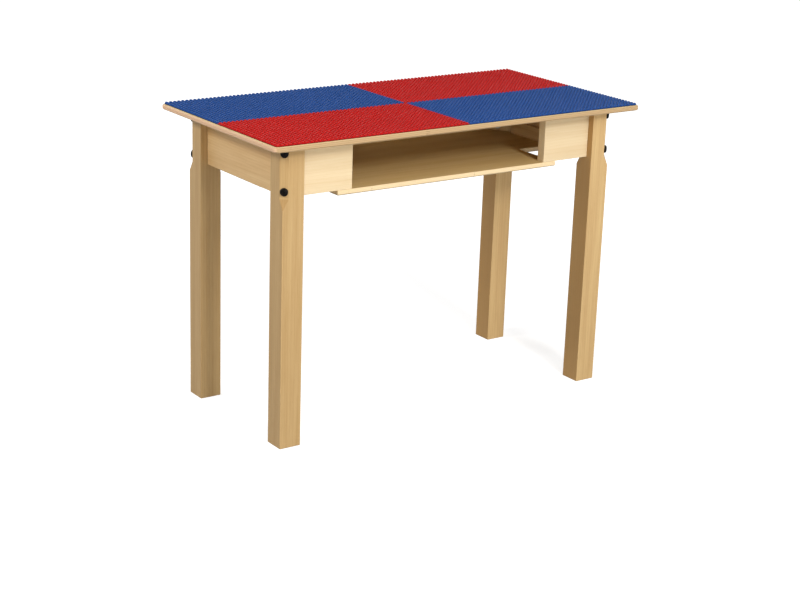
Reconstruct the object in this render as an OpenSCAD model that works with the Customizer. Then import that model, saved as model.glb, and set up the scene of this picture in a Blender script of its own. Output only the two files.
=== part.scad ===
// Kids table with an open storage cubby and a top covered by four studded baseplates.
// The origin is on the floor under the middle of the tabletop.
// +X runs along the table, -Y is the side with the storage opening, +Z is up.

/* [Baseplates] */
// Distance from one stud to the next
stud_pitch = 8; // [7.5:0.1:9]
// Diameter of a stud
stud_d = 4.9; // [4:0.1:5.4]
// Height of a stud above its baseplate
stud_h = 1.8; // [1:0.1:3]
// Studs along the length of one baseplate
studs_long = 48; // [44:1:60]
// Studs along the depth of one baseplate
studs_deep = 24; // [23:1:36]
// Thickness of a baseplate under its studs
plate_t = 1.8; // [1.2:0.1:3]
// Radius of a baseplate where it lies in a corner of the table
plate_corner_r = 6; // [4:0.5:8]
// Seam between two neighbouring baseplates
plate_seam = 0.4; // [0.2:0.1:1]

/* [Tabletop] */
// Height of the board's upper face above the floor
table_h = 536; // [450:1:650]
// Thickness of the tabletop board
top_t = 9.5; // [9:0.5:20]
// Strip of board that shows all round the baseplates
top_margin = 4; // [2:0.5:20]
// Radius of the board's rounded-over edges
top_edge_r = 3.5; // [1:0.25:4]

/* [Legs] */
// Width of a leg on each side
leg_w = 41; // [38:0.5:55]
// Distance from the edge of the tabletop in to a leg's outer face
leg_inset = 37; // [20:0.5:45]
// Radius of a leg's long edges
leg_edge_r = 1.5; // [0.5:0.25:3]
// Length cut off each face by the chamfers on a leg's outer and inner corner
chamfer = 11; // [10:0.5:14]
// Height of the slope in which a chamfer runs out below the aprons
runout_h = 19; // [10:1:40]

/* [Aprons and front panels] */
// Height of the aprons and front panels
apron_h = 89; // [80:1:130]
// Thickness of the aprons and front panels
apron_t = 18; // [16:0.5:22]
// Distance from a leg's outer face back to the face of an apron or panel
apron_setback = 13.5; // [6:0.5:16]
// Length of a front panel, from its leg to the storage opening
panel_w = 102.5; // [80:0.5:150]

/* [Corner braces] */
// Thickness of a brace
brace_t = 18; // [16:0.5:30]
// Gap between a brace and the inner chamfer of its leg
brace_gap = 2; // [0.5:0.5:6]

/* [Storage shelf] */
// Thickness of the shelf board
shelf_t = 9; // [6:0.5:15]
// Length of shelf that lies under each front panel
shelf_overlap = 28.5; // [20:0.5:50]
// Distance from the shelf's front edge back to its wings
wing_setback = 107.5; // [80:0.5:125]
// Clearance of the shelf's rear corners around the back legs
shelf_leg_gap = 8; // [2:0.5:16]
// Width of the strips that carry the wings
cleat_w = 10; // [8:0.5:20]
// Height of the strips that carry the wings
cleat_h = 25; // [22:1:26]
// Length of the strips that carry the wings
cleat_l = 110; // [60:1:120]

/* [Leg bolts] */
// Shank diameter of a leg bolt
bolt_d = 8; // [6:0.5:9]
// Diameter of a bolt's domed head
head_d = 14; // [13:0.5:16]
// Height of a bolt's domed head
head_h = 4.4; // [3:0.1:6]
// Width across the flats of the socket in a bolt's head
socket_w = 5; // [4:0.5:6]
// Depth of the socket in a bolt's head
socket_depth = 2.6; // [1:0.1:2.8]
// Distance of the bolts from the upper and lower edge of the aprons
bolt_inset = 12.5; // [10:0.5:25]
// Length of bolt that stands out past its nut
bolt_stickout = 4; // [1:0.5:10]
// Outer diameter of a washer
washer_d = 16; // [14:0.5:20]
// Thickness of a washer
washer_t = 1.6; // [1:0.1:3]
// Width of a nut across its flats
nut_w = 13; // [12:0.5:16]
// Height of a nut
nut_h = 6.5; // [4:0.5:9]

/* [Wood screws] */
// Shank diameter of all the wood screws
screw_d = 4; // [3:0.25:4.5]
// Head diameter of all the wood screws
screw_head_d = 8; // [6.5:0.25:8.5]
// Height of a screw's head
screw_head_h = 2.5; // [1.5:0.25:3]
// Length of the screws that hold the shelf
shelf_screw_l = 30; // [20:1:32]
// Depth that the brace screws reach into an apron or panel
brace_screw_bite = 12; // [8:0.5:14]
// Wood left in a brace under a screw's head
brace_screw_seat = 5.5; // [3:0.5:7]
// Distance of the brace screws from the thin end of a brace
brace_screw_in = 11; // [9:0.5:14]
// Height between the two screws on one side of a brace
brace_screw_spread = 24; // [14:1:30]
// Depth that the top screws reach into the tabletop
top_screw_bite = 6; // [4:0.5:6.5]
// Length of apron that a top screw passes through above its pocket
pocket_shoulder = 17; // [14:0.5:18]
// Slope of the pockets for the top screws
pocket_tilt = 15; // [12:1:18]
// Distance of an end apron's pockets from the middle of the table's depth
end_pocket_y = 55; // [40:1:70]
// Distance of the back apron's outer pockets from the middle of the table's length
back_pocket_x = 180; // [100:5:220]

/* [Fits] */
// Clearance round a bolt in the wood, on the radius
bolt_gap = 0.3; // [0.1:0.05:0.5]
// Clearance round a bolt in its nut and washer, on the radius
nut_gap = 0.1; // [0.05:0.05:0.2]
// Clearance round a screw in its hole, on the radius
screw_gap = 0.1; // [0.05:0.05:0.3]
// Clearance round a screw's head in its pocket, on the radius
pocket_gap = 0.75; // [0.5:0.25:1]

/* [Hidden] */
$fn = 48;
cut = 1;  // how far a cutting shape runs past the face that it cuts

// Signs of X and Y at the four corners
corners = [[-1, -1], [1, -1], [-1, 1], [1, 1]];

// Baseplates and tabletop
plate_l = studs_long * stud_pitch;
plate_w = studs_deep * stud_pitch;
top_x = plate_l + top_margin;
top_y = plate_w + top_margin;
top_corner_r = plate_corner_r + top_margin;
underside = table_h - top_t;

// Faces of the legs, aprons and panels, as distances from the middle of the table
leg_x = top_x - leg_inset - leg_w / 2;
leg_y = top_y - leg_inset - leg_w / 2;
leg_in_x = leg_x - leg_w / 2;
leg_in_y = leg_y - leg_w / 2;
apron_x = leg_x + leg_w / 2 - apron_setback;
apron_y = leg_y + leg_w / 2 - apron_setback;
apron_in_x = apron_x - apron_t;
apron_in_y = apron_y - apron_t;
apron_mid_x = apron_x - apron_t / 2;
apron_mid_y = apron_y - apron_t / 2;
apron_z = underside - apron_h;

// Storage shelf
opening_x = leg_in_x - panel_w;
tongue_x = opening_x + shelf_overlap;
wing_y = wing_setback - apron_y;
rear_x = leg_in_x - shelf_leg_gap;
rear_y = leg_in_y - shelf_leg_gap;
cleat_y = wing_y + shelf_leg_gap;

// Corner braces, measured inwards along the diagonal from the middle of a leg
facet = (leg_w - chamfer) / sqrt(2);
brace_out = facet + brace_gap;
brace_in = brace_out + brace_t;
brace_side = leg_x - apron_in_x;
brace_tip = brace_in * sqrt(2) - brace_side;
brace_screw_at = brace_tip - brace_screw_in;

// Bolts and screws
bolt_levels = [apron_z + bolt_inset, underside - bolt_inset];
bolt_grip = facet + brace_in + washer_t + nut_h + bolt_stickout;
brace_screw_levels = [for (s = [-1, 1]) apron_z + apron_h / 2 + s * brace_screw_spread / 2];
pocket_d = screw_head_d + 2 * pocket_gap;
pocket_l = (apron_t + pocket_d) / 2 / sin(pocket_tilt) + pocket_d;
panel_mid_x = opening_x + panel_w / 2;

// Each pocket: X and Y of the screw at the underside, and the way that its outer side faces
pockets = [
  for (s = [-1, 1]) [apron_mid_x, s * end_pocket_y, 0],
  for (s = [-1, 1]) [-apron_mid_x, s * end_pocket_y, 180],
  for (s = [-1, 0, 1]) [s * back_pocket_x, apron_mid_y, 90],
  for (s = [-1, 1]) [s * panel_mid_x, -apron_mid_y, -90]
];

// X and Y of the screws that hold the shelf
shelf_screw_places = [
  for (s = [-1, 1]) [s * (opening_x + shelf_overlap / 2), -apron_mid_y],
  for (s = [-1, 1]) [s * (apron_in_x - cleat_w / 2), cleat_y + cleat_l / 4],
  for (s = [-1, 1]) [s * (apron_in_x - cleat_w / 2), cleat_y + cleat_l * 3 / 4],
  for (s = [-1, 1]) [s * back_pocket_x / 2, apron_mid_y],
  for (s = [-1, 1]) [s * back_pocket_x * 3 / 2, apron_mid_y]
];

// Copies its children, drawn for the corner at +X +Y, to another corner of the table
module mirrored_to(corner) {
  mirror([corner.x < 0 ? 1 : 0, 0, 0])
    mirror([0, corner.y < 0 ? 1 : 0, 0])
      children();
}

// Puts its children, drawn round the middle of the leg at +X +Y, at another corner
module at_leg(corner) {
  mirrored_to(corner) translate([leg_x, leg_y, 0]) children();
}

// Turns its children so that their X axis points out along the diagonal of a leg
module diagonal() {
  rotate([0, 0, 45]) children();
}

// A rectangle with rounded corners, its middle on the origin
module rounded_rect(size_x, size_y, r) {
  square([size_x - 2 * r, size_y], center = true);
  square([size_x, size_y - 2 * r], center = true);
  for (c = corners)
    translate([c.x * (size_x / 2 - r), c.y * (size_y / 2 - r)]) circle(r);
}

// ---- tabletop ----

// Cross-section of the board with its two rounded-over edges
module board_section(width) {
  translate([0, top_t / 2]) rounded_rect(width, top_t, top_edge_r);
}

module tabletop_board() {
  rotate([90, 0, 90])
    linear_extrude(2 * (top_x - top_corner_r), center = true) board_section(2 * top_y);
  rotate([90, 0, 0])
    linear_extrude(2 * (top_y - top_corner_r), center = true) board_section(2 * top_x);
  for (c = corners)
    translate([c.x * (top_x - top_corner_r), c.y * (top_y - top_corner_r), 0])
      rotate_extrude()
        intersection() {
          board_section(2 * top_corner_r);
          square([top_corner_r, top_t]);
        }
}

module tabletop() {
  color("#DDBE8C")
    difference() {
      translate([0, 0, underside]) tabletop_board();
      for (p = pockets) at_pocket(p) screw_hole(-cut, top_screw_bite + screw_gap);
    }
}

// ---- baseplates ----

module plate_outline() {
  edge = plate_seam / 2;
  translate([edge, edge]) square([plate_l - edge, plate_w - edge - plate_corner_r]);
  translate([edge, edge]) square([plate_l - edge - plate_corner_r, plate_w - edge]);
  translate([plate_l - plate_corner_r, plate_w - plate_corner_r]) circle(plate_corner_r);
}

module studs() {
  for (i = [0.5 : 1 : studs_long], j = [0.5 : 1 : studs_deep])
    translate([i * stud_pitch, j * stud_pitch]) circle(d = stud_d);
}

module stud_plate(corner, tint) {
  color(tint)
    mirrored_to(corner) translate([0, 0, table_h]) {
      linear_extrude(plate_t) plate_outline();
      translate([0, 0, plate_t]) linear_extrude(stud_h) studs();
    }
}

// ---- legs ----

// Wedge that cuts one chamfer: full depth above the apron's lower edge, then a slope
module chamfer_cut() {
  corner = leg_w / sqrt(2);
  rotate([90, 0, 0])
    linear_extrude(2 * leg_w, center = true)
      polygon([
        [facet, underside + cut],
        [facet, apron_z],
        [corner, apron_z - runout_h],
        [corner + cut, apron_z - runout_h],
        [corner + cut, underside + cut]
      ]);
}

module bolt_holes(radius) {
  for (z = bolt_levels)
    translate([0, 0, z]) rotate([0, 90, 0])
      cylinder(r = radius, h = 4 * leg_w, center = true);
}

module leg(corner) {
  color("#CBA570")
    at_leg(corner)
      difference() {
        linear_extrude(underside) rounded_rect(leg_w, leg_w, leg_edge_r);
        diagonal() chamfer_cut();
        diagonal() mirror([1, 0, 0]) chamfer_cut();
        diagonal() bolt_holes(bolt_d / 2 + bolt_gap);
      }
}

// ---- aprons and front panels ----

// A board that stands on its long edge under the tabletop
module apron_board(size_x, size_y) {
  translate([-size_x / 2, -size_y / 2, apron_z]) cube([size_x, size_y, apron_h]);
}

module end_apron(side) {
  color("#CFAB78")
    difference() {
      translate([side * apron_mid_x, 0, 0]) apron_board(apron_t, 2 * leg_in_y);
      pocket_cuts();
      brace_screw_holes();
    }
}

module back_apron() {
  color("#CFAB78")
    difference() {
      translate([0, apron_mid_y, 0]) apron_board(2 * leg_in_x, apron_t);
      pocket_cuts();
      brace_screw_holes();
      shelf_screw_holes();
    }
}

module front_panel(side) {
  color("#F3D9AC")
    difference() {
      translate([side * panel_mid_x, -apron_mid_y, 0]) apron_board(panel_w, apron_t);
      pocket_cuts();
      brace_screw_holes();
      shelf_screw_holes();
    }
}

// ---- corner braces ----

module brace_outline() {
  intersection() {
    translate([-brace_side, -brace_side]) rotate(180) square(2 * leg_w + brace_in);
    diagonal() translate([-brace_in, -brace_in]) square([brace_t, 2 * brace_in]);
  }
}

module corner_brace(corner) {
  color("#D8B886")
    difference() {
      at_leg(corner)
        difference() {
          translate([0, 0, apron_z]) linear_extrude(apron_h) brace_outline();
          diagonal() bolt_holes(bolt_d / 2 + bolt_gap);
        }
      brace_screw_holes();
    }
}

// Puts its children at each brace screw, their Z axis along the screw and their
// origin in the plane where the brace meets the apron or panel
module at_brace_screws() {
  for (c = corners, z = brace_screw_levels)
    at_leg(c) {
      translate([-brace_side, -brace_screw_at, z]) rotate([0, 90, 0]) children();
      translate([-brace_screw_at, -brace_side, z]) rotate([-90, 0, 0]) children();
    }
}

module brace_screw_holes() {
  at_brace_screws() {
    screw_hole(-brace_screw_seat - cut, brace_screw_bite + screw_gap);
    translate([0, 0, -brace_screw_seat - brace_t])
      cylinder(d = pocket_d, h = brace_t);
  }
}

// ---- storage shelf ----

module shelf_outline() {
  right = [
    [tongue_x, -apron_y], [tongue_x, wing_y],
    [apron_in_x, wing_y], [apron_in_x, rear_y],
    [rear_x, rear_y], [rear_x, apron_y]
  ];
  left = [for (i = [len(right) - 1 : -1 : 0]) [-right[i].x, right[i].y]];
  polygon(concat(right, left));
}

module storage_shelf() {
  color("#E3C796")
    difference() {
      translate([0, 0, apron_z - shelf_t]) linear_extrude(shelf_t) shelf_outline();
      shelf_screw_holes();
    }
}

module shelf_cleat(side) {
  color("#D8B886")
    difference() {
      translate([side * (apron_in_x - cleat_w / 2) - cleat_w / 2, cleat_y, apron_z])
        cube([cleat_w, cleat_l, cleat_h]);
      shelf_screw_holes();
    }
}

module at_shelf_screws() {
  for (p = shelf_screw_places) translate([p.x, p.y, apron_z - shelf_t]) children();
}

// Holes with a countersink in the shelf's lower face
module shelf_screw_holes() {
  at_shelf_screws() {
    screw_hole(-cut, shelf_screw_l + screw_gap);
    countersunk_head(screw_gap);
    translate([0, 0, -cut]) cylinder(d = screw_head_d + 2 * screw_gap, h = cut);
  }
}

// ---- leg bolts ----

module domed_head() {
  dome_r = (head_d * head_d / 4 + head_h * head_h) / (2 * head_h);
  difference() {
    intersection() {
      translate([0, 0, head_h - dome_r]) sphere(dome_r);
      cylinder(d = head_d + cut, h = head_h + cut);
    }
    translate([0, 0, head_h - socket_depth])
      cylinder(d = socket_w / cos(30), h = socket_depth + cut, $fn = 6);
  }
}

// Puts its children on each bolt axis, a distance out from the middle of the leg
module at_bolts(out) {
  for (c = corners, z = bolt_levels)
    at_leg(c) diagonal() translate([out, 0, z]) rotate([0, 90, 0]) children();
}

module leg_bolts() {
  color("#1B1B1D")
    at_bolts(facet) {
      domed_head();
      translate([0, 0, -bolt_grip]) cylinder(d = bolt_d, h = bolt_grip);
    }
}

module ring(outer_d, height, sides) {
  difference() {
    cylinder(d = outer_d, h = height, $fn = sides);
    translate([0, 0, -cut]) cylinder(r = bolt_d / 2 + nut_gap, h = height + 2 * cut);
  }
}

module bolt_washers() {
  color("#B9BCBE") at_bolts(-brace_in - washer_t) ring(washer_d, washer_t, 48);
}

module bolt_nuts() {
  color("#B9BCBE") at_bolts(-brace_in - washer_t - nut_h) ring(nut_w / cos(30), nut_h, 6);
}

// ---- wood screws ----

// A screw's hole along Z between two levels
module screw_hole(low, high) {
  translate([0, 0, low]) cylinder(r = screw_d / 2 + screw_gap, h = high - low);
}

module cross_recess() {
  for (a = [0, 90])
    rotate([0, 0, a])
      translate([-screw_head_d / 4, -screw_head_h / 6, -cut])
        cube([screw_head_d / 2, screw_head_h / 3, cut + screw_head_h / 2]);
}

// A head whose flat face lies at Z = 0, narrowing to the shank above it
module countersunk_head(gap) {
  cylinder(d1 = screw_head_d + 2 * gap, d2 = screw_d + 2 * gap, h = screw_head_h);
}

module countersunk_screw(length) {
  difference() {
    union() {
      countersunk_head(0);
      cylinder(d = screw_d, h = length);
    }
    cross_recess();
  }
}

// A screw with a flat round head below Z = 0 and its shank above
module pan_screw(length) {
  difference() {
    union() {
      translate([0, 0, -screw_head_h]) cylinder(d = screw_head_d, h = screw_head_h);
      cylinder(d = screw_d, h = length);
    }
    translate([0, 0, -screw_head_h]) cross_recess();
  }
}

module brace_screws() {
  color("#C6B27A")
    at_brace_screws()
      translate([0, 0, -brace_screw_seat]) pan_screw(brace_screw_seat + brace_screw_bite);
}

module shelf_screws() {
  color("#C6B27A") at_shelf_screws() countersunk_screw(shelf_screw_l);
}

// Puts its children at one pocket, their Z axis up along the slanted screw and
// their origin in the upper edge of the apron
module at_pocket(p) {
  translate([p.x, p.y, underside]) rotate([0, 0, p.z]) rotate([0, pocket_tilt, 0]) children();
}

module pocket_cuts() {
  for (p = pockets)
    at_pocket(p) {
      screw_hole(-pocket_shoulder - cut, cut);
      translate([0, 0, -pocket_shoulder - pocket_l]) cylinder(d = pocket_d, h = pocket_l);
    }
}

module top_screws() {
  color("#C6B27A")
    for (p = pockets)
      at_pocket(p)
        translate([0, 0, -pocket_shoulder]) pan_screw(pocket_shoulder + top_screw_bite);
}

tabletop();
stud_plate([-1, 1], "#2350A0");  // stud_plate_back_left
stud_plate([1, 1], "#C01F24");  // stud_plate_back_right
stud_plate([-1, -1], "#C01F24");  // stud_plate_front_left
stud_plate([1, -1], "#2350A0");  // stud_plate_front_right
leg([-1, -1]);  // leg_front_left
leg([1, -1]);  // leg_front_right
leg([-1, 1]);  // leg_back_left
leg([1, 1]);  // leg_back_right
end_apron(-1);  // end_apron_left
end_apron(1);  // end_apron_right
back_apron();
front_panel(-1);  // front_panel_left
front_panel(1);  // front_panel_right
storage_shelf();
shelf_cleat(-1);  // shelf_cleat_left
shelf_cleat(1);  // shelf_cleat_right
corner_brace([-1, -1]);  // corner_brace_front_left
corner_brace([1, -1]);  // corner_brace_front_right
corner_brace([-1, 1]);  // corner_brace_back_left
corner_brace([1, 1]);  // corner_brace_back_right
leg_bolts();
bolt_washers();
bolt_nuts();
brace_screws();
shelf_screws();
top_screws();
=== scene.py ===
import math

import bmesh
import bpy
import numpy as np
from mathutils import Matrix, Vector


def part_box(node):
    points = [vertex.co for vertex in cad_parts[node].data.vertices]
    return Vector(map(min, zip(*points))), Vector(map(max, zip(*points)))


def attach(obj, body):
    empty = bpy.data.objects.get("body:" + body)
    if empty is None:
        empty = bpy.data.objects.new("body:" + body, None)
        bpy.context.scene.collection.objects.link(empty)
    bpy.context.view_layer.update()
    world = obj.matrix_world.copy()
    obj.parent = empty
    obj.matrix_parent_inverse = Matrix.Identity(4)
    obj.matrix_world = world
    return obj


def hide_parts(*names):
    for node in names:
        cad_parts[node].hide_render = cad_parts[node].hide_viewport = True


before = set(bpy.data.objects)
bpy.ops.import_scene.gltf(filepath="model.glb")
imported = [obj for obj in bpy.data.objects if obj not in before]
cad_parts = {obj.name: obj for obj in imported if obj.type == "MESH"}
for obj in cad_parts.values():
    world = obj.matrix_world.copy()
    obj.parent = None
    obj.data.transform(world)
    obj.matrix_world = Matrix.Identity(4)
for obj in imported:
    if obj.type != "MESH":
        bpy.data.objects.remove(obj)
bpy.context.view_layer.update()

print("frame loaded:", len(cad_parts), "nodes")


# small helpers for meshes

arcMiddle = 0.3  # about how far a quarter circle's middle lies from its two end tangents, in radii


def makeObject(name, points, faceGroups, smoothAngle=40):
    # one mesh from an n x 3 array and a list of face arrays, each as wide as its faces have corners
    mesh = bpy.data.meshes.new(name)
    corners = np.concatenate([faces.ravel() for faces in faceGroups])
    counts = np.concatenate([np.full(len(faces), faces.shape[1]) for faces in faceGroups])
    starts = np.concatenate([[0], np.cumsum(counts)[:-1]])
    mesh.vertices.add(len(points))
    mesh.vertices.foreach_set("co", points.astype(np.float32).ravel())
    mesh.loops.add(len(corners))
    mesh.loops.foreach_set("vertex_index", corners.astype(np.int32))
    mesh.polygons.add(len(counts))
    mesh.polygons.foreach_set("loop_start", starts.astype(np.int32))
    mesh.update(calc_edges=True)
    mesh.validate()
    mesh.shade_smooth()
    mesh.set_sharp_from_angle(angle=math.radians(smoothAngle))
    piece = bpy.data.objects.new(name, mesh)
    bpy.context.scene.collection.objects.link(piece)
    return piece


def dress(piece, material, slot, *nodes):
    # gives a new piece its material, its body, and the nodes that it stands for
    piece.data.materials.append(material)
    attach(piece, "root")
    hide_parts(*nodes)
    return piece


def ringAngles(sides):
    # evenly spaced angles: a full turn times the corner's number over the number of sides
    return np.arange(sides) * 2 * math.pi / sides


def ringStack(angle, rows):
    # a ring of points for each pair of a radius and a height: x is the radius times the cosine of
    # the angle and y times its sine, and either of the pair may be an array over the angle
    rings = [
        np.column_stack([radius * np.cos(angle), radius * np.sin(angle), height + 0 * angle])
        for radius, height in rows
    ]
    return np.concatenate(rings)


def ringFaces(rows, columns, closedRows=False):
    # quads between neighbouring rings of a grid whose columns run round, outwards for rising rings
    rowCount = rows if closedRows else rows - 1
    i, j = np.meshgrid(np.arange(rowCount), np.arange(columns), indexing="ij")
    nextI, nextJ = (i + 1) % rows, (j + 1) % columns
    quads = [i * columns + j, i * columns + nextJ, nextI * columns + nextJ, nextI * columns + j]
    return np.stack(quads, axis=-1).reshape(-1, 4)


def capFaces(rows, columns):
    # one flat face over the first ring, turned down, and one over the last, turned up
    ring = np.arange(columns)
    return np.stack([ring[::-1], (rows - 1) * columns + ring])


def repeat(points, faceGroups, copies):
    # the same shell once for each array of points in copies, in one mesh: each copy's faces have
    # the shell's corner numbers plus the points that come before it
    offsets = np.arange(len(copies)) * len(points)
    groups = [
        (faces[None, :, :] + offsets[:, None, None]).reshape(-1, faces.shape[1])
        for faces in faceGroups
    ]
    return np.concatenate(copies), groups


def turned(points, matrix):
    # the points moved by a 4 x 4 matrix: times its turn, plus its shift
    whole = np.array(matrix)
    return points @ whole[:3, :3].T + whole[:3, 3]


def nodeBox(node):
    # lowest and highest corner of a node as arrays
    lo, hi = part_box(node)
    return np.array(lo), np.array(hi)


# small helpers for materials

def colour(hexCode):
    # a screen colour as linear red, green, blue and alpha: a dark part is divided by 12.92, and
    # any other gets 0.055, is divided by 1.055 and raised to the power 2.4
    parts = [int(hexCode[k:k + 2], 16) / 255 for k in (1, 3, 5)]
    linear = [c / 12.92 if c <= 0.04045 else ((c + 0.055) / 1.055) ** 2.4 for c in parts]
    return (*linear, 1.0)


class Signal:
    # one socket of a material's node tree; arithmetic on it adds Math nodes
    def __init__(self, finish, socket):
        self.finish = finish
        self.socket = socket

    def math(self, operation, *values):
        return self.finish.node("ShaderNodeMath", {"operation": operation}, dict(enumerate(values)))

    def __add__(self, other):
        return self.math("ADD", self, other)

    def __radd__(self, other):
        return self.math("ADD", other, self)

    def __sub__(self, other):
        return self.math("SUBTRACT", self, other)

    def __rsub__(self, other):
        return self.math("SUBTRACT", other, self)

    def __mul__(self, other):
        return self.math("MULTIPLY", self, other)

    def __rmul__(self, other):
        return self.math("MULTIPLY", other, self)

    def __truediv__(self, other):
        return self.math("DIVIDE", self, other)

    def __pow__(self, other):
        return self.math("POWER", self, other)

    def __abs__(self):
        return self.math("ABSOLUTE", self)

    def fraction(self):
        return self.math("FRACT", self)

    def least(self, other):
        return self.math("MINIMUM", self, other)

    def most(self, other):
        return self.math("MAXIMUM", self, other)

    def root(self):
        return self.math("SQRT", self)

    def step(self, low, high):
        # 0 below low, 1 above high, smooth between
        settings = {"interpolation_type": "SMOOTHSTEP"}
        values = {"Value": self, "From Min": low, "From Max": high}
        return self.finish.node("ShaderNodeMapRange", settings, values, "Result")


class Finish:
    # a material and the one method that adds its nodes
    def __init__(self, name):
        self.material = bpy.data.materials.new(name)
        self.material.use_nodes = True
        self.tree = self.material.node_tree
        self.shader = self.tree.nodes["Principled BSDF"]

    def node(self, kind, settings, values, output=0):
        # a new node with its settings, then its sockets' values or links
        made = self.tree.nodes.new(kind)
        for key, value in settings.items():
            setattr(made, key, value)
        self.fill(made, values)
        return Signal(self, made.outputs[output])

    def fill(self, made, values):
        for key, value in values.items():
            if isinstance(value, Signal):
                self.tree.links.new(value.socket, made.inputs[key])
            else:
                made.inputs[key].default_value = value

    def place(self):
        # the point on the piece, in metres
        return self.node("ShaderNodeTexCoord", {}, {}, "Object")

    def axes(self):
        place = self.place()
        return [self.node("ShaderNodeSeparateXYZ", {}, {0: place}, axis) for axis in "XYZ"]

    def facing(self, axis, kind="True Normal"):
        # size of the normal along the axis: 1 where the surface faces it, 0 where it runs beside it
        normal = self.node("ShaderNodeNewGeometry", {}, {}, kind)
        return abs(self.node("ShaderNodeSeparateXYZ", {}, {0: normal}, axis))

    def vector(self, x, y, z):
        return self.node("ShaderNodeCombineXYZ", {}, {0: x, 1: y, 2: z})

    def noise(self, vector, scale, detail=2.0, rough=0.5):
        values = {"Vector": vector, "Scale": scale, "Detail": detail, "Roughness": rough}
        return self.node("ShaderNodeTexNoise", {}, values)

    def grainNoise(self, grainPlace, look, detail=2.0, rough=0.5):
        # noise drawn out along the grain; a look is its scale per metre and its squeeze along
        scale, squeeze = look
        along, across, depth = grainPlace
        return self.noise(self.vector(along * squeeze, across, depth), scale, detail, rough)

    def mix(self, amount, first, second):
        settings = {"data_type": "RGBA", "clamp_factor": True}
        return self.node("ShaderNodeMix", settings, {0: amount, 6: first, 7: second}, 2)

    def bump(self, height, distance, strength=1.0):
        values = {"Height": height, "Distance": distance, "Strength": strength}
        return self.node("ShaderNodeBump", {}, values)

    def finished(self, **values):
        self.fill(self.shader, {key.replace("_", " "): value for key, value in values.items()})
        return self.material


# wood

# noise levels between which a mark comes in, on solid wood and plywood alike
marks = {
    "streak": (0.3, 0.72),
    "cloud": (0.35, 0.75),
    "fibre": (0.45, 0.7),
    "fleck": (0.62, 0.74),
}

wood = {
    "ringWidth": 0.0042,      # metres between two growth rings
    "ringWobble": 0.0144,     # metres between the furthest that a ring wanders in and out
    "ringSharpness": 5,       # more makes the dark end of a ring thinner
    "pith": (0.035, -0.06),   # the rings' middle, metres across and in depth from the board's
    "shift": 0.37,            # metres that each board's pattern lies on from the last one's
    "wander": (9, 0.12),      # looks of the noises: scale across the grain, squeeze along it
    "fibre": (1500, 0.018),
    "streak": (70, 0.05),
    "cloud": (14, 0.45),
    "fleck": (640, 0.09),
    "cloudAmount": 0.45,      # how far each takes the colour towards its tint
    "ringAmount": 0.1,
    "ringInStreak": 0.35,
    "fibreAmount": 0.2,
    "fleckAmount": 0.16,
    "wearAndEdgeHighlight": 0.3,              # of the pale tint on long edges, a painted highlight
    "paleEdgeReach": 0.0025,      # metres
    "poreDepth": 0.00008,     # bump of the fibres, metres
    "lacquer": 0.04,          # weight of the clear coat
    "rough": 0.36,
}

# three tints each, how far the last one takes over where the grain runs out, and how far on the left and
# right faces as painted shade
woodTints = {
    # painted light: the right legs' tints are lighter than the left legs', though all four are one wood
    "leftLeg": {"pale": "#C0A171", "dark": "#B49363", "line": "#9C7745", "endGrain": 0.7, "paintedSideShade": 0.1},
    "rightLeg": {"pale": "#CDAE7B", "dark": "#C19F6E", "line": "#A67E49", "endGrain": 0.7, "paintedSideShade": 0.8},
    "apron": {"pale": "#D8B784", "dark": "#C8A26F", "line": "#B38A57", "endGrain": 0.7, "paintedSideShade": 0},
    "backApron": {"pale": "#E0C491", "dark": "#D3B17E", "line": "#BE9965", "endGrain": 0.7, "paintedSideShade": 0},
    "panel": {"pale": "#DDC8A3", "dark": "#D7BF98", "line": "#CAAF81", "endGrain": 0.15, "paintedSideShade": 0},
    "brace": {"pale": "#D8B781", "dark": "#C39C66", "line": "#AD814E", "endGrain": 0.7, "paintedSideShade": 0},
}

# numbers of the axes along the grain, across it and in depth
grainOrder = {"x": (0, 1, 2), "y": (1, 0, 2), "z": (2, 0, 1)}


def edgeNearness(finish, node, reach):
    # 1 on the long edges of a box-shaped piece, fading to 0 inwards: the middle one of the
    # three distances to its faces is small only where two faces meet
    lo, hi = nodeBox(node)
    x, y, z = [
        (hi[k] - lo[k]) / 2 - abs(axis - (hi[k] + lo[k]) / 2)
        for k, axis in enumerate(finish.axes())
    ]
    middle = x.least(y).most(x.most(y).least(z))
    return 1 - middle.step(0, reach)


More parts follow.
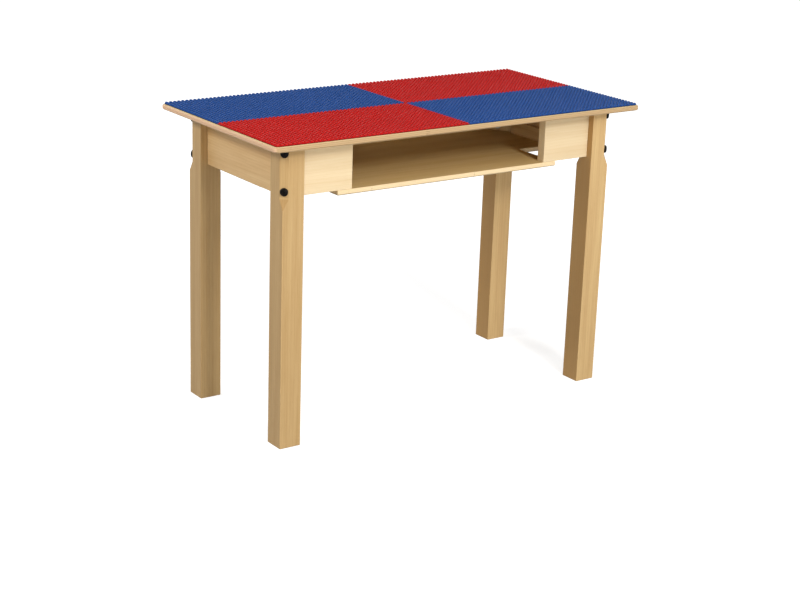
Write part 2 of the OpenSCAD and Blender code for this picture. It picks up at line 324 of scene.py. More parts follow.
def makeWood(name, tint, node, along, number):
    # growth rings are circles round a pith beside the board, bent by noise that changes slowly
    # along the grain; fibres, streaks, clouds and flecks are noise drawn out along the grain
    finish = Finish(name)
    pale, dark, line = [colour(tint[key]) for key in ("pale", "dark", "line")]
    lo, hi = nodeBox(node)
    middle = (lo + hi) / 2
    axes = finish.axes()
    order = grainOrder[along]
    grainPlace = [axes[k] - (middle[k] + number * wood["shift"]) for k in order]
    across, depth = [axes[k] - middle[k] for k in order[1:]]
    wander = finish.grainNoise(grainPlace, wood["wander"])
    pithAcross, pithDepth = wood["pith"]
    radius = ((across - pithAcross) ** 2 + (depth - pithDepth) ** 2).root()
    rings = (radius + (wander - 0.5) * wood["ringWobble"]) / wood["ringWidth"]
    ringLine = rings.fraction() ** wood["ringSharpness"]
    fibre = finish.grainNoise(grainPlace, wood["fibre"], 3.0, 0.6)
    streak = finish.grainNoise(grainPlace, wood["streak"], 3.0, 0.6)
    cloud = finish.grainNoise(grainPlace, wood["cloud"])
    fleck = finish.grainNoise(grainPlace, wood["fleck"], 1.0).step(*marks["fleck"])
    base = finish.mix(streak.step(*marks["streak"]), pale, dark)
    base = finish.mix(cloud.step(*marks["cloud"]) * wood["cloudAmount"], base, dark)
    base = finish.mix(ringLine * (wood["ringAmount"] + wood["ringInStreak"] * streak), base, line)
    base = finish.mix(fibre.step(*marks["fibre"]) * wood["fibreAmount"], base, line)
    base = finish.mix(fleck * wood["fleckAmount"], base, line)
    edge = edgeNearness(finish, node, wood["paleEdgeReach"])
    # painted highlight: the long edges turn towards the pale tint, as if catching light
    base = finish.mix(edge * wood["wearAndEdgeHighlight"], base, pale)
    # painted shade: faces that look along X darken towards the line tint
    base = finish.mix(finish.facing("X").step(0.8, 0.95) * tint["paintedSideShade"], base, line)
    endGrain = finish.facing(along.upper()).step(0.1, 0.45) * tint["endGrain"]
    base = finish.mix(endGrain * (0.7 + 0.3 * ringLine), base, line)
    height = fibre * 0.6 - ringLine * 0.3 - fleck * 0.3
    return finish.finished(
        Base_Color=base,
        Roughness=wood["rough"] + 0.16 * fibre + 0.05 * edge,
        Specular_IOR_Level=0.15,
        Coat_Weight=wood["lacquer"],
        Coat_Roughness=0.32,
        Normal=finish.bump(height, wood["poreDepth"], 0.5),
    )


# plywood

ply = {
    "plies": 7,
    "ringWidth": 0.006,       # metres of wood between two growth rings
    "ringWobble": 0.05,       # metres, as for the solid wood
    "ringSharpness": 4,
    "veneerSlope": 0.35,      # metres of growth that a metre across the face veneer cuts through
    "wander": (7, 0.12),      # looks of the noises, as for the solid wood
    "fibre": (1300, 0.02),
    "streak": (40, 0.06),
    "ringAmount": 0.08,       # how far each takes the colour towards its tint
    "ringInStreak": 0.25,
    "fibreAmount": 0.2,
    "gapAmount": 0.45,
    "glueAmount": 0.16,
    "warp": 0.12,             # how far a ply strays up and down, in plies
    "gapScale": 110,          # of the noise whose peaks are small gaps, per metre
    "void": "#7A5A36",        # those gaps, in the crossed plies
    "glueLine": "#A07C4E",
    "paintedUnderShade": "#8C7A5C",       # painted shade on the lower part of an edge
    "paintedUnderShadeReach": (0.05, 0.36),  # heights between which it ends, as shares of the thickness
    "poreDepth": 0.00008,     # bump of the fibres, metres
    "lacquer": 0.04,          # weight of the clear coat
    "rough": 0.4,
}

# the face veneer's three tints, then two plies of the front and back edges, one with its grain
# along the edge and one that shows its end grain, and the same two of the left and right edges
# the left and right edges' tints differ from the front and back edges' only as painted light and shade,
# lighter on the tabletop and darker on the shelf
plyTints = {
    "top": {"pale": "#E2CB98", "dark": "#D5B985", "line": "#BF9C65",
            "front": ("#BFA17B", "#B09167"), "side": ("#DDB895", "#D4AC88"), "paintedUnderShade": 0.25},
    # painted shade: the shelf's face tints are darker than the tabletop's, for the cubby's shade, though
    # both are one plywood
    "shelf": {"pale": "#CEB17C", "dark": "#C4A56D", "line": "#AF8A53",
              "front": ("#E8D2AB", "#DFC498"), "side": ("#DEC597", "#D0B07D"), "paintedUnderShade": 0.75},
}


def makePly(name, tint, node, shift):
    # plies are flat layers between the piece's lower and upper face, every other one crossed;
    # a surface that faces up or down shows the face veneer, its grain along X
    finish = Finish(name)
    pale, dark, line = [colour(tint[key]) for key in ("pale", "dark", "line")]
    lo, hi = nodeBox(node)
    thickness = hi[2] - lo[2]
    x, y, z = finish.axes()
    grainPlace = (x + shift, y, z)
    wander = finish.grainNoise(grainPlace, ply["wander"])
    rings = (y * ply["veneerSlope"] + (wander - 0.5) * ply["ringWobble"]) / ply["ringWidth"]
    ringLine = rings.fraction() ** ply["ringSharpness"]
    fibre = finish.grainNoise(grainPlace, ply["fibre"], 3.0, 0.6)
    streak = finish.grainNoise(grainPlace, ply["streak"], 3.0, 0.6)
    face = finish.mix(streak.step(*marks["streak"]), pale, dark)
    face = finish.mix(ringLine * (ply["ringAmount"] + ply["ringInStreak"] * streak), face, line)
    face = finish.mix(fibre.step(*marks["fibre"]) * ply["fibreAmount"], face, line)

    # the edge: a layer's whole part counts the plies, which bend a little with the warp
    warp = finish.noise(finish.place(), 25, 1.0)
    layer = (z - lo[2]) * (ply["plies"] / thickness) + (warp - 0.5) * ply["warp"]
    crossed = ((layer * 0.5).fraction() - 0.5).step(-0.03, 0.03)
    grainy = finish.noise(finish.vector(x, y, z * 3), 900, 2.0, 0.7)
    # painted light and shade: edges that face along X take the side tints
    toSide = finish.facing("X", "Normal").step(0.5, 0.85)
    longPly, endPly = [
        finish.mix(toSide, colour(front), colour(side)) for front, side in zip(tint["front"], tint["side"])
    ]
    edgeTint = finish.mix((crossed + grainy.step(0.4, 0.75) * 0.35).least(1), longPly, endPly)
    gap = finish.noise(finish.vector(x, y, z * 0.3), ply["gapScale"], 1.0).step(0.7, 0.74) * crossed
    edgeTint = finish.mix(gap * ply["gapAmount"], edgeTint, colour(ply["void"]))
    glue = abs(layer.fraction() - 0.5).step(0.4, 0.47)
    edgeTint = finish.mix(glue * ply["glueAmount"], edgeTint, colour(ply["glueLine"]))
    upright = finish.facing("Z", "Normal")
    onEdge = 1 - upright.step(0.75, 0.97)
    base = finish.mix(onEdge, face, edgeTint)

    # painted shade darkens the lower third of the edge, but not the flat underside
    unevenHeight = z + (warp - 0.5) * 0.001
    under = 1 - unevenHeight.step(*[lo[2] + thickness * share for share in ply["paintedUnderShadeReach"]])
    under = under * (1 - upright.step(0.9, 0.995)) * tint["paintedUnderShade"]
    base = finish.mix(under, base, colour(ply["paintedUnderShade"]))
    height = fibre * 0.6 + onEdge * crossed * 0.8
    return finish.finished(
        Base_Color=base,
        Roughness=ply["rough"] + 0.14 * fibre + 0.1 * onEdge,
        Specular_IOR_Level=0.15,
        Coat_Weight=ply["lacquer"],
        Coat_Roughness=0.3,
        Normal=finish.bump(height, ply["poreDepth"], 0.5),
    )


# moulded plastic

plastic = {
    "red": "#B51A19",
    "redWorn": "#CA3C33",
    "blue": "#244988",
    "blueWorn": "#4267A2",
    "wearAndEdgeHighlight": 0.45,             # of the worn tint on rubbed studs
    "wearDepth": 0.0005,      # metres down from the studs' tops
    "drift": 0.12,            # of the worn tint, changing slowly over a plate
    "paintedRimShade": 0.7,          # painted shade on the thin edge of a plate
    "rimFade": 0.0008,        # metres over which that darkness begins
    "rough": 0.38,
    "specular": 0.03,
}


def makePlastic(name, tint, wornTint, studTop, plateTop):
    # an even moulded colour with slow drift, tiny scratches, rubbed tops on the studs and a thin edge
    # painted dark as shade
    finish = Finish(name)
    place = finish.place()
    x, y, z = finish.axes()
    drift = finish.noise(place, 6)
    speckle = finish.noise(place, 2600)
    scratch = finish.noise(finish.vector(x * 0.2, y, z), 900, 3.0, 0.7)
    rubbed = z.step(studTop - plastic["wearDepth"], studTop) * scratch.step(0.4, 0.65)
    worn = rubbed * plastic["wearAndEdgeHighlight"] + drift * plastic["drift"]
    base = finish.mix(worn, colour(tint), colour(wornTint))
    # painted shade: the plate's thin edge, below its top, goes dark
    rim = 1 - z.step(plateTop - plastic["rimFade"], plateTop)
    base = finish.mix(rim * plastic["paintedRimShade"], base, colour("#000000"))
    return finish.finished(
        Base_Color=base,
        Roughness=plastic["rough"] + 0.1 * rubbed + 0.08 * (drift - 0.5) + 0.05 * speckle,
        Specular_IOR_Level=plastic["specular"],
        Normal=finish.bump(speckle * 0.5 + scratch * 0.5, 0.00002, 0.35),
    )


# metal

steel = {
    "oxideDark": "#080605",
    "oxidePale": "#130D0A",
    "oxideRough": 0.3,
    "zincGrey": "#C9C8C2",
    "zincYellow": "#B5AC8E",
    "zincRough": 0.28,
    "gritDepth": 0.00002,     # bump of both, metres
}


def makeBlackSteel(name):
    # black oxide: nearly black, a little browner and rougher in patches
    finish = Finish(name)
    place = finish.place()
    patch = finish.noise(place, 260, 3.0, 0.6)
    grit = finish.noise(place, 5200)
    return finish.finished(
        Base_Color=finish.mix(patch.step(0.4, 0.7), colour(steel["oxideDark"]), colour(steel["oxidePale"])),
        Specular_IOR_Level=0.07,
        Roughness=steel["oxideRough"] + 0.2 * patch,
        Normal=finish.bump(grit, steel["gritDepth"], 0.3),
    )


def makeZinc(name):
    # zinc plate: soft grey with cloudy patches and a faint yellow passivation
    finish = Finish(name)
    place = finish.place()
    patch = finish.noise(place, 180, 3.0, 0.6)
    grit = finish.noise(place, 4200)
    return finish.finished(
        Base_Color=finish.mix(patch.step(0.35, 0.7), colour(steel["zincGrey"]), colour(steel["zincYellow"])),
        Metallic=1.0,
        Roughness=steel["zincRough"] + 0.22 * patch,
        Normal=finish.bump(grit, steel["gritDepth"], 0.4),
    )


# studded baseplates

baseplate = {
    "studPitch": 0.008,
    "studRadius": 0.00245,
    "studHeight": 0.0018,
    "studRounding": 0.0003,
    "studSides": 16,
    "cornerRadius": 0.006,    # in the corner of the table
    "innerRadius": 0.0008,    # in a plate's three other corners
    "edgeRounding": 0.0004,   # of a plate's upper rim
    "cornerSteps": 8,
    "sink": 0.0004,           # how far a stud's shell runs into the plate
}


def plateOutline(lo, hi, outer, inset):
    # the plate's outline drawn in by inset: a quarter circle at each corner, its centre a radius
    # in from both sides; outer gives the signs of the corner that lies in a corner of the table
    steps = np.linspace(0, math.pi / 2, baseplate["cornerSteps"])
    parts = []
    for quarter, (signX, signY) in enumerate([(1, 1), (-1, 1), (-1, -1), (1, -1)]):
        radius = baseplate["cornerRadius"] if (signX, signY) == outer else baseplate["innerRadius"]
        corner = np.array([hi[0] if signX > 0 else lo[0], hi[1] if signY > 0 else lo[1]])
        centre = corner - np.array([signX, signY]) * radius
        angle = steps + quarter * math.pi / 2
        parts.append(centre + (radius - inset) * np.stack([np.cos(angle), np.sin(angle)], axis=1))
    return np.concatenate(parts)


def makePlate(node, outer, material, slot):
    # the slab is its outline at four heights, drawn in over the rounded rim; the studs are one
    # shell of rings at each point of a square grid, half a pitch in from the table's corner
    lo, hi = nodeBox(node)
    plateTop = hi[2] - baseplate["studHeight"]
    rim = baseplate["edgeRounding"]
    profile = [
        (0, lo[2]),
        (0, plateTop - rim),
        (rim * arcMiddle, plateTop - rim * arcMiddle),
        (rim, plateTop),
    ]
    columns = 4 * baseplate["cornerSteps"]
    slab = np.concatenate([
        np.column_stack([plateOutline(lo, hi, outer, inset), np.full(columns, height)])
        for inset, height in profile
    ])
    slabFaces = [ringFaces(len(profile), columns), capFaces(len(profile), columns)]

    radius, top, edge = [baseplate[key] for key in ("studRadius", "studHeight", "studRounding")]
    studProfile = [
        (radius, -baseplate["sink"]),
        (radius, top - edge),
        (radius - edge * arcMiddle, top - edge * arcMiddle),
        (radius - edge, top),
    ]
    sides = baseplate["studSides"]
    stud = ringStack(ringAngles(sides), studProfile)
    studFaces = [ringFaces(len(studProfile), sides), capFaces(len(studProfile), sides)]
    pitch = baseplate["studPitch"]
    corner = np.array([hi[0] if outer[0] > 0 else lo[0], hi[1] if outer[1] > 0 else lo[1]])
    across = round((hi[0] - lo[0]) / pitch)
    deep = round((hi[1] - lo[1]) / pitch)
    i, j = np.meshgrid(np.arange(across) + 0.5, np.arange(deep) + 0.5, indexing="ij")
    centres = corner - np.stack([i.ravel() * outer[0], j.ravel() * outer[1]], axis=1) * pitch
    places = np.column_stack([centres, np.full(len(centres), plateTop)])
    studs, studGroups = repeat(stud, studFaces, [stud + place for place in places])
    groups = slabFaces + [faces + len(slab) for faces in studGroups]
    plate = makeObject("dressed_" + node, np.concatenate([slab, studs]), groups)
    return dress(plate, material, slot, node)


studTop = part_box("stud_plate_back_left")[1].z
plateTop = studTop - baseplate["studHeight"]
redPlastic = makePlastic("redPlastic", plastic["red"], plastic["redWorn"], studTop, plateTop)
bluePlastic = makePlastic("bluePlastic", plastic["blue"], plastic["blueWorn"], studTop, plateTop)
makePlate("stud_plate_back_left", (-1, 1), bluePlastic, "blue_plastic")
makePlate("stud_plate_back_right", (1, 1), redPlastic, "red_plastic")
makePlate("stud_plate_front_left", (-1, -1), redPlastic, "red_plastic")
makePlate("stud_plate_front_right", (1, -1), bluePlastic, "blue_plastic")
print("baseplates made")


# bolts, washers and nuts

bolt = {
    "legNodes": ("leg_front_left", "leg_front_right", "leg_back_left", "leg_back_right"),
    "fromEdge": 0.0125,       # from the aprons' upper and lower edges to a bolt
    "facetOut": 0.021213,     # from the middle of a leg out to its chamfer
    "braceIn": 0.041213,      # from the middle of a leg in to the brace's inner face
    "shankRadius": 0.004,
    "tipTaper": 0.0009,       # how much thinner the shank's end is
    "tipLength": 0.0008,
    "neck": 0.0002,           # small rounding between shank and head
    "headRadius": 0.007,
    "headHeight": 0.0044,
    "headChamfer": 0.0003,    # on the head's lower rim
    "rimHeight": 0.0015,      # where the dome begins
    "domePower": 2.8,         # 2 is an ellipse, more is fuller
    "domeInner": 0.42,        # where the dome ends at the socket, as a share of a quarter turn
    "domeRings": 9,
    "socketWidth": 0.005,
    "socketDepth": 0.0026,
    "socketLead": 1.12,       # width of the socket's mouth, in socket widths
    "leadDepth": 0.0004,
    "drillTip": 0.0003,       # how much deeper the middle of the socket is
    "threadPitch": 0.00125,
    "threadDepth": 0.0007,
    "threadLength": 0.022,
    "threadRings": 8,         # in each turn of thread
    "stickout": 0.004,
    "sides": 36,
}

washer = {
    "radius": 0.008,
    "bore": 0.0041,
    "height": 0.0016,
    "rounding": 0.0003,
    "sides": 36,
}

nut = {
    "width": 0.013,           # across the flats
    "height": 0.0065,
    "bore": 0.0041,
    "boreChamfer": 0.0006,
    "faceRadius": 0.0062,     # of the round face that the cut leaves
    "slope": 0.55,            # height of the cut over its width
    "sides": 48,
    "smoothAngle": 20,
}

ringGap = 0.0001  # metres between two rings that make a nearly sharp edge


def hexRadius(angle, width):
    # distance from the middle of a hexagon to its outline: half the width over the cosine of
    # the angle from the nearest flat
    return width / 2 / np.cos(angle % (math.pi / 3) - math.pi / 6)


def threadRows(angle, bottom, top, radius, depth, pitch, perTurn):
    # a helix: the radius dips by a triangle wave of height over pitch less angle over a turn,
    # and the dip fades out at both ends
    rows = []
    for height in np.arange(bottom, top, pitch / perTurn):
        phase = (height / pitch - angle / (2 * math.pi)) % 1.0
        fade = np.clip(min(height - bottom, top - height) / pitch, 0, 1)
        rows.append((radius - depth * fade * (1 - abs(2 * phase - 1)), height))
    return rows


def domeHeight(radius):
    # a quarter of an oval over a short upright rim: the root of one less the radius to a power
    bulge = np.sqrt(1 - (radius / bolt["headRadius"]) ** bolt["domePower"])
    return bolt["rimHeight"] + (bolt["headHeight"] - bolt["rimHeight"]) * bulge


def makeBoltShell():
    # rings from the threaded end up the shank, over the dome and down into the hexagon socket,
    # with the head's underside at height 0
    angle = ringAngles(bolt["sides"])
    shank, head = bolt["shankRadius"], bolt["headRadius"]
    end = -(bolt["facetOut"] + bolt["braceIn"] + washer["height"] + nut["height"] + bolt["stickout"])
    threadStart = end + bolt["tipLength"] + ringGap
    threadEnd = end + bolt["threadLength"]
    rows = [(shank - bolt["tipTaper"], end), (shank - ringGap, end + bolt["tipLength"])]
    rows += threadRows(angle, threadStart, threadEnd, shank, bolt["threadDepth"], bolt["threadPitch"],
                       bolt["threadRings"])
    rows += [(shank, threadEnd), (shank, -bolt["neck"]), (shank + bolt["neck"], 0)]
    rows += [(head - bolt["headChamfer"], 0), (head, bolt["headChamfer"])]
    turn = np.linspace(1.0, bolt["domeInner"], bolt["domeRings"]) * math.pi / 2
    rows += [(radius, domeHeight(radius)) for radius in np.sin(turn) * head]
    socket = hexRadius(angle, bolt["socketWidth"])
    mouth = socket * bolt["socketLead"]
    floorHeight = bolt["headHeight"] - bolt["socketDepth"]
    rows += [(mouth, domeHeight(mouth)), (socket, domeHeight(mouth) - bolt["leadDepth"])]
    rows += [(socket, floorHeight), (socket / 2, floorHeight - bolt["drillTip"])]
    return ringStack(angle, rows), [ringFaces(len(rows), bolt["sides"]), capFaces(len(rows), bolt["sides"])]


def makeWasherShell():
    # rings round the washer's rectangular section, its outer and inner edges rounded
    bore, outside, height, edge = [washer[key] for key in ("bore", "radius", "height", "rounding")]
    rows = [
        (bore + edge, 0),
        (outside - edge, 0),
        (outside - edge * arcMiddle, edge * arcMiddle),
        (outside, edge),
        (outside, height - edge),
        (outside - edge * arcMiddle, height - edge * arcMiddle),
        (outside - edge, height),
        (bore + edge, height),
        (bore, height - edge),
        (bore, edge),
    ]
    sides = washer["sides"]
    return ringStack(ringAngles(sides), rows), [ringFaces(len(rows), sides, closedRows=True)]


def makeNutShell():
    # a hexagon whose corners are cut by a cone: the cut's height grows with the distance past
    # the round face
    bore, face, height, chamfer = [nut[key] for key in ("bore", "faceRadius", "height", "boreChamfer")]
    angle = ringAngles(nut["sides"])
    outline = hexRadius(angle, nut["width"])
    cutHeight = (outline - face) * nut["slope"]
    rows = [
        (bore + chamfer, 0),
        (face, 0),
        (outline, cutHeight),
        (outline, height - cutHeight),
        (face, height),
        (bore + chamfer, height),
        (bore, height - chamfer),
        (bore, chamfer),
    ]
    return ringStack(angle, rows), [ringFaces(len(rows), nut["sides"], closedRows=True)]


def boltFrames(out):
    # a frame on each bolt's axis, a distance out from the middle of its leg, Z pointing outwards
    lo, hi = nodeBox("back_apron")
    levels = (lo[2] + bolt["fromEdge"], hi[2] - bolt["fromEdge"])
    down = Vector((0, 0, -1))
    frames = []
    for node in bolt["legNodes"]:
        legLo, legHi = nodeBox(node)
        middle = (legLo + legHi) / 2
        outward = Vector((math.copysign(1, middle[0]), math.copysign(1, middle[1]), 0)).normalized()
        turnTo = Matrix((down, outward.cross(down), outward)).transposed()
        for level in levels:
            place = Vector((middle[0], middle[1], level)) + outward * out
            frames.append(Matrix.Translation(place) @ turnTo.to_4x4())
    return frames


def makeSet(name, shell, frames, material, slot, node, smoothAngle=35):
    # the same shell at each frame, as one piece that stands for the node
    points, groups = shell
    points, groups = repeat(points, groups, [turned(points, matrix) for matrix in frames])
    return dress(makeObject(name, points, groups, smoothAngle), material, slot, node)


blackSteel = makeBlackSteel("blackOxide")
zincSteel = makeZinc("zincPlate")
washerOut = -bolt["braceIn"] - washer["height"]
nutOut = washerOut - nut["height"]
makeSet("domed_bolts", makeBoltShell(), boltFrames(bolt["facetOut"]), blackSteel, "black_steel", "leg_bolts")
makeSet("round_washers", makeWasherShell(), boltFrames(washerOut), zincSteel, "zinc_steel", "bolt_washers")
makeSet("hex_nuts", makeNutShell(), boltFrames(nutOut), zincSteel, "zinc_steel", "bolt_nuts",
        nut["smoothAngle"])
print("bolts, washers and nuts made")


# wood screws

screw = {
    "shankRadius": 0.002,
    "coreRadius": 0.0014,     # at the bottom of the thread
    "tipRadius": 0.0001,
    "tipLength": 0.004,
    "threadPitch": 0.0018,
    "threadRings": 6,         # in each turn of thread
    "plainShank": 0.002,      # between thread and head
    "headRadius": 0.004,
    "headHeight": 0.0025,
    "headChamfer": 0.0003,    # on a pan head's lower rim
    "headEdge": 0.0002,       # height of a head's upright upper rim
    "domeHeight": 0.0007,     # of a pan head
    "recessLength": 0.0022,   # half the length of a wing of the cross
    "recessWidth": 0.00062,   # half its width
    "recessDepth": 0.0014,
    "recessSide": 0.35,       # share of that half width over which the cross deepens
    "recessEnd": 0.6,         # and of the half length
    "faceRings": (0.94, 0.06, 14),  # over the head's top: first and last, in head radii, and number
    "sides": 32,
}


def crossRecess(x, y):
    # depth of the cross: a ridge along each axis, steep at its sides and sloping to its ends
    def slope(distance, reach, share):
        # 0 from the reach outwards, rising to 1 over that share of the reach inwards
        return np.clip((reach - abs(distance)) / (share * reach), 0, 1)

    def wing(along, across):
        side = slope(across, screw["recessWidth"], screw["recessSide"])
        return side * slope(along, screw["recessLength"], screw["recessEnd"])

    return screw["recessDepth"] * np.maximum(wing(x, y), wing(y, x))


def makeScrewShell(length, countersunk):
    # rings from the tip up the threaded shank to the head; the head's top is a disc of rings
    # that falls with the square of the radius and sinks by the depth of the cross
    angle = ringAngles(screw["sides"])
    shank, core, head = [screw[key] for key in ("shankRadius", "coreRadius", "headRadius")]
    tip = screw["tipLength"] - length
    shankTop = -screw["headHeight"] if countersunk else 0
    threadTop = shankTop - screw["plainShank"]
    rows = [(screw["tipRadius"], -length), (core, tip)]
    rows += threadRows(angle, tip, threadTop, shank, shank - core, screw["threadPitch"],
                       screw["threadRings"])
    rows += [(shank, threadTop), (shank, shankTop)]
    if countersunk:
        top, dome = 0, 0
    else:
        top, dome = screw["headHeight"], screw["domeHeight"]
        rows += [(head - screw["headChamfer"], 0), (head, screw["headChamfer"])]
    rows += [(head, top - dome - screw["headEdge"])]
    for share in np.linspace(*screw["faceRings"]):
        radius = share * head
        sunk = crossRecess(radius * np.cos(angle), radius * np.sin(angle))
        rows.append((radius, top - dome * share ** 2 - sunk))
    sides = screw["sides"]
    return ringStack(angle, rows), [ringFaces(len(rows), sides), capFaces(len(rows), sides)]


# lengths and places in metres; each top screw has the turn of its pocket round Z, in degrees
screwPlaces = {
    "braceFromLeg": (0.0165, 0.036284),  # under a brace screw's head, in from the leg's middle
    "braceSpread": 0.012,                # half the height between two brace screws
    "braceLength": 0.0175,
    "shelfLength": 0.030,
    "shelf": ((0.22175, -0.1365), (0.3145, -0.0025), (0.3145, 0.0525), (0.09, 0.1365), (0.27, 0.1365)),
    "topLength": 0.023,
    "topShoulder": 0.017,                # wood above a pocket that a top screw passes through
    "topTilt": 15,
    "top": ((0.3285, 0.055, 0), (0.3285, -0.055, 0), (-0.3285, 0.055, 180), (-0.3285, -0.055, 180),
            (0.18, 0.1365, 90), (0.0, 0.1365, 90), (-0.18, 0.1365, 90),
            (0.25875, -0.1365, -90), (-0.25875, -0.1365, -90)),
}


def standing(place, head):
    # a frame at a place whose Z axis points the way that a screw's head faces
    return Matrix.Translation(place) @ Vector(head).to_track_quat("Z", "Y").to_matrix().to_4x4()


def braceScrewFrames():
    # at two heights in each brace, one screw outwards along X into the end apron and one along Y
    # into the back apron or front panel, each at the two distances in from the leg's middle
    lo, hi = nodeBox("back_apron")
    middleHeight = (lo[2] + hi[2]) / 2
    near, far = screwPlaces["braceFromLeg"]
    frames = []
    for node in bolt["legNodes"]:
        legLo, legHi = nodeBox(node)
        x, y = ((legLo + legHi) / 2)[:2]
        signX, signY = math.copysign(1, x), math.copysign(1, y)
        for z in (middleHeight - screwPlaces["braceSpread"], middleHeight + screwPlaces["braceSpread"]):
            frames.append(standing((x - signX * near, y - signY * far, z), (-signX, 0, 0)))
            frames.append(standing((x - signX * far, y - signY * near, z), (0, -signY, 0)))
    return frames


def shelfScrewFrames():
    # flush with the shelf's underside, heads down, each place on the right and on the left
    underside = nodeBox("storage_shelf")[0][2]
    return [
        standing((side * x, y, underside), (0, 0, -1))
        for x, y in screwPlaces["shelf"] for side in (-1, 1)
    ]


def topScrewFrames():
    # each leans outwards by the tilt, its head the shoulder's length below the apron's upper edge,
    # measured along the screw
    upper = nodeBox("back_apron")[1][2]
    tilt = math.radians(screwPlaces["topTilt"])
    frames = []
    for x, y, turnDegrees in screwPlaces["top"]:
        turnAngle = math.radians(turnDegrees)
        lean = math.sin(tilt)
        upwards = Vector((lean * math.cos(turnAngle), lean * math.sin(turnAngle), math.cos(tilt)))
        frames.append(standing(Vector((x, y, upper)) - upwards * screwPlaces["topShoulder"], -upwards))
    return frames


makeSet("panhead_brace_screws", makeScrewShell(screwPlaces["braceLength"], False), braceScrewFrames(),
        zincSteel, "zinc_steel", "brace_screws")
makeSet("countersunk_shelf_screws", makeScrewShell(screwPlaces["shelfLength"], True), shelfScrewFrames(),
        zincSteel, "zinc_steel", "shelf_screws")
makeSet("panhead_top_screws", makeScrewShell(screwPlaces["topLength"], False), topScrewFrames(),
        zincSteel, "zinc_steel", "top_screws")
print("screws made")


# wooden boards

easing = {
    "width": 0.0009,          # bevel on the long edges of solid wood, metres
    "segments": 3,
    "plyWidth": 0.0018,       # the same on the shelf, a round-over
    "plySegments": 4,
    "shortest": 0.0075,       # shorter edges, such as those round a hole, stay sharp
    "bevelFrom": 25,          # degrees between two faces from which an edge is bevelled
    "smoothTo": 40,           # degrees up to which an edge is shaded smooth afterwards
    "mergeWithin": 1e-6,      # metres between points of the solid that are one corner
    "flatWithin": 0.4,        # degrees between triangles of the solid that are one face
    "touching": 0.0001,       # metres from the foot or an end that still count as on it
}


def easeBoard(node, material, slot, width, segments, squareEnds=False):
    # a merged copy of the board's solid, its flat faces joined, then bevelled on its long edges
    # and round its foot; the holes and pockets stay as they are, and so do the left and right
    # ends with squareEnds, because screws sit close to them
    board = bmesh.new()
    board.from_mesh(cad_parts[node].data)
    bmesh.ops.remove_doubles(board, verts=board.verts, dist=easing["mergeWithin"])
    bmesh.ops.dissolve_limit(board, angle_limit=math.radians(easing["flatWithin"]), verts=board.verts,
                             edges=board.edges)
    lo, hi = nodeBox(node)
    footTop = lo[2] + easing["touching"]
    endStart = hi[0] - easing["touching"]
    rounded = []
    for edge in board.edges:
        onFoot = node.startswith("leg_") and max(corner.co.z for corner in edge.verts) < footTop
        onEnd = squareEnds and min(abs(corner.co.x) for corner in edge.verts) > endStart
        longEnough = onFoot or edge.calc_length() > easing["shortest"]
        if longEnough and not onEnd and edge.calc_face_angle(0) > math.radians(easing["bevelFrom"]):
            rounded.append(edge)
    bmesh.ops.bevel(board, geom=rounded, offset=width, offset_type="OFFSET", segments=segments,
                    profile=0.5, affect="EDGES", clamp_overlap=False, loop_slide=False)
    mesh = bpy.data.meshes.new("eased_" + node)
    board.to_mesh(mesh)
    board.free()
    mesh.shade_smooth()
    mesh.set_sharp_from_angle(angle=math.radians(easing["smoothTo"]))
    piece = bpy.data.objects.new("eased_" + node, mesh)
    bpy.context.scene.collection.objects.link(piece)
    shading = piece.modifiers.new("flatFacesFlat", "WEIGHTED_NORMAL")
    shading.keep_sharp = True
    return dress(piece, material, slot, node)


# each board's tints, the axis that its grain runs along, and its slot
boards = {
    "leg_front_left": ("leftLeg", "z", "leg_wood"),
    "leg_front_right": ("rightLeg", "z", "leg_wood"),
    "leg_back_left": ("leftLeg", "z", "leg_wood"),
    "leg_back_right": ("rightLeg", "z", "leg_wood"),
    "end_apron_left": ("apron", "y", "apron_wood"),
    "end_apron_right": ("apron", "y", "apron_wood"),
    "back_apron": ("backApron", "x", "apron_wood"),
    "front_panel_left": ("panel", "x", "panel_wood"),
    "front_panel_right": ("panel", "x", "panel_wood"),
    "shelf_cleat_left": ("brace", "y", "apron_wood"),
    "shelf_cleat_right": ("brace", "y", "apron_wood"),
    "corner_brace_front_left": ("brace", "z", "apron_wood"),
    "corner_brace_front_right": ("brace", "z", "apron_wood"),
    "corner_brace_back_left": ("brace", "z", "apron_wood"),
    "corner_brace_back_right": ("brace", "z", "apron_wood"),
}
for number, (node, (tints, along, slot)) in enumerate(boards.items(), 1):
    material = makeWood("wood_" + node, woodTints[tints], node, along, number)
    easeBoard(node, material, slot, easing["width"], easing["segments"])

shelfPly = makePly("plyShelf", plyTints["shelf"], "storage_shelf", 1.7)
easeBoard("storage_shelf", shelfPly, "birch_ply", easing["plyWidth"], easing["plySegments"], squareEnds=True)
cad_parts["tabletop"].material_slots[0].material = makePly("plyTop", plyTints["top"], "tabletop", 0.3)
print("boards eased")


# camera at the photograph's viewing angle

camera = {
    "place": (-1.7818, -2.4996, 1.1556),
    "right": (0.81947, -0.57218, 0.03285),  # this and the next two are its own directions
    "down": (-0.14984, -0.26922, -0.95135),
    "forward": (0.55319, 0.77468, -0.30635),
    "focalPixels": 1737.7,
    "widthPixels": 800,
    "sensor": 36.0,
}
cameraData = bpy.data.cameras.new("photoCamera")
cameraData.sensor_width = camera["sensor"]
cameraData.lens = camera["focalPixels"] / camera["widthPixels"] * camera["sensor"]
cameraObject = bpy.data.objects.new("photoCamera", cameraData)
bpy.context.scene.collection.objects.link(cameraObject)
turn = Matrix((camera["right"], [-c for c in camera["down"]], [-c for c in camera["forward"]])).transposed()
cameraObject.matrix_world = Matrix.LocRotScale(Vector(camera["place"]), turn.to_quaternion(), None)
bpy.context.scene.camera = cameraObject


# square soft lamps: places and the length of a side in metres, powers in watts

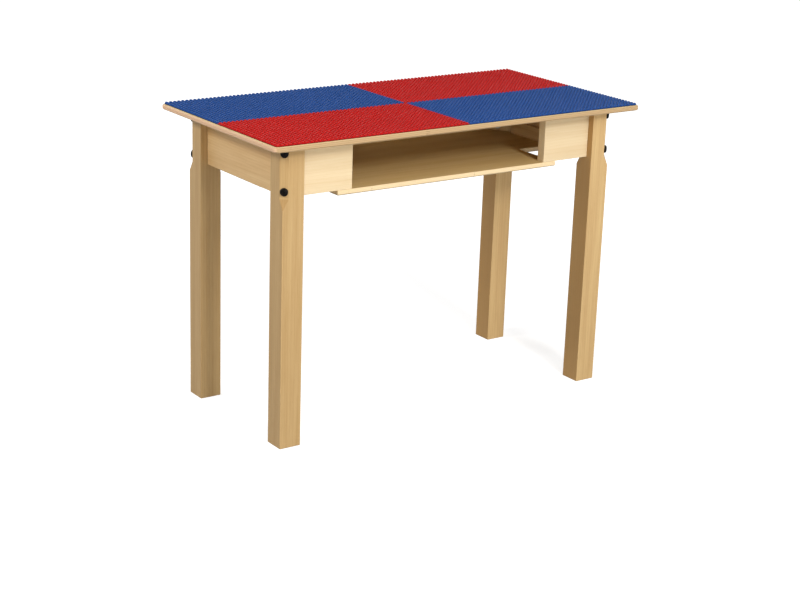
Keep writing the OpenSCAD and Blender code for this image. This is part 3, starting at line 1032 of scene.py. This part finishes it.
lights = {
    "key": {"place": (-0.33, -3.0, 1.9), "aim": (0, 0, 0.4), "size": 0.45, "power": 46},
    "front": {"place": (-0.4, -2.6, 2.6), "aim": (0, 0, 0.45), "size": 1.2, "power": 40},
    "low": {"place": (-0.33, -2.9, 0.92), "aim": (0, 0, 0.45), "size": 0.6, "power": 13},
    "lowLeft": {"place": (-1.8, -2.2, 0.68), "aim": (0, 0, 0.48), "size": 0.6, "power": 11},
    "lowRight": {"place": (1.5, -2.6, 0.65), "aim": (0, 0, 0.48), "size": 0.6, "power": 9},
    "side": {"place": (-2.6, 0.35, 1.95), "aim": (-0.35, 0, 0.45), "size": 0.5, "power": 40},
    "back": {"place": (-0.9, 3.0, 1.4), "aim": (0, 0, 0.35), "size": 1.0, "power": 30},
    "right": {"place": (3.1, -0.5, 1.4), "aim": (0, 0, 0.35), "size": 1.0, "power": 18},
}
for name, light in lights.items():
    lamp = bpy.data.lights.new(name, "AREA")
    lamp.shape = "SQUARE"
    lamp.size = light["size"]
    lamp.energy = light["power"]
    lampObject = bpy.data.objects.new(name, lamp)
    lampObject.location = light["place"]
    direction = Vector(light["aim"]) - Vector(light["place"])
    lampObject.rotation_euler = direction.to_track_quat("-Z", "Y").to_euler()
    bpy.context.scene.collection.objects.link(lampObject)


# floor and background

backdrop = {
    "ambient": 0.08,          # strength of the world as a light
    "floorGrey": 0.5,         # share of the light that the floor gives back
    "glowNear": 0.74,         # what the floor shows of itself under the object, where shadows fall
    "glowFar": 1.0,           # and from glowReach on
    "glowStart": 0.5,         # metres from the middle
    "glowReach": 2.0,
    "floorSize": 40,
    "floorHeight": -0.0002,   # a hair below the feet
}


def seenDirectly(finish):
    # 1 for what the camera, a mirror or glass sees, 0 for light that falls on the object
    rays = ("Is Camera Ray", "Is Glossy Ray", "Is Transmission Ray")
    byCamera, byMirror, throughGlass = [finish.node("ShaderNodeLightPath", {}, {}, ray) for ray in rays]
    return byCamera.most(byMirror).most(throughGlass)


class WorldFinish(Finish):
    # the same nodes in the world's tree, which has no Principled shader
    def __init__(self, world):
        world.use_nodes = True
        self.tree = world.node_tree
        self.shader = self.tree.nodes["Background"]


world = bpy.data.worlds.new("studio")
bpy.context.scene.world = world
worldFinish = WorldFinish(world)
ambient = backdrop["ambient"]
strength = ambient + seenDirectly(worldFinish) * (1 - ambient)
worldFinish.fill(worldFinish.shader, {"Color": colour("#FFFFFF"), "Strength": strength})

floorFinish = Finish("paleFloor")
floorX, floorY, _ = floorFinish.axes()
away = (floorX ** 2 + floorY ** 2).root().step(backdrop["glowStart"], backdrop["glowReach"])
levels = [backdrop[key] for key in ("floorGrey", "glowNear", "glowFar")]
grey, near, far = [(level, level, level, 1) for level in levels]
glow = floorFinish.mix(seenDirectly(floorFinish), colour("#000000"), floorFinish.mix(away, near, far))
floorFinish.finished(
    Base_Color=grey,
    Roughness=1.0,
    Specular_IOR_Level=0.0,
    Emission_Color=glow,
    Emission_Strength=1.0,
)
half, low = backdrop["floorSize"] / 2, backdrop["floorHeight"]
corners = np.array([(-half, -half, low), (half, -half, low), (half, half, low), (-half, half, low)])
floor = makeObject("floor", corners, [np.array([[0, 1, 2, 3]])])
floor.data.materials.append(floorFinish.material)

bpy.context.scene.view_settings.view_transform = "Standard"
print("camera, lamps and floor set")
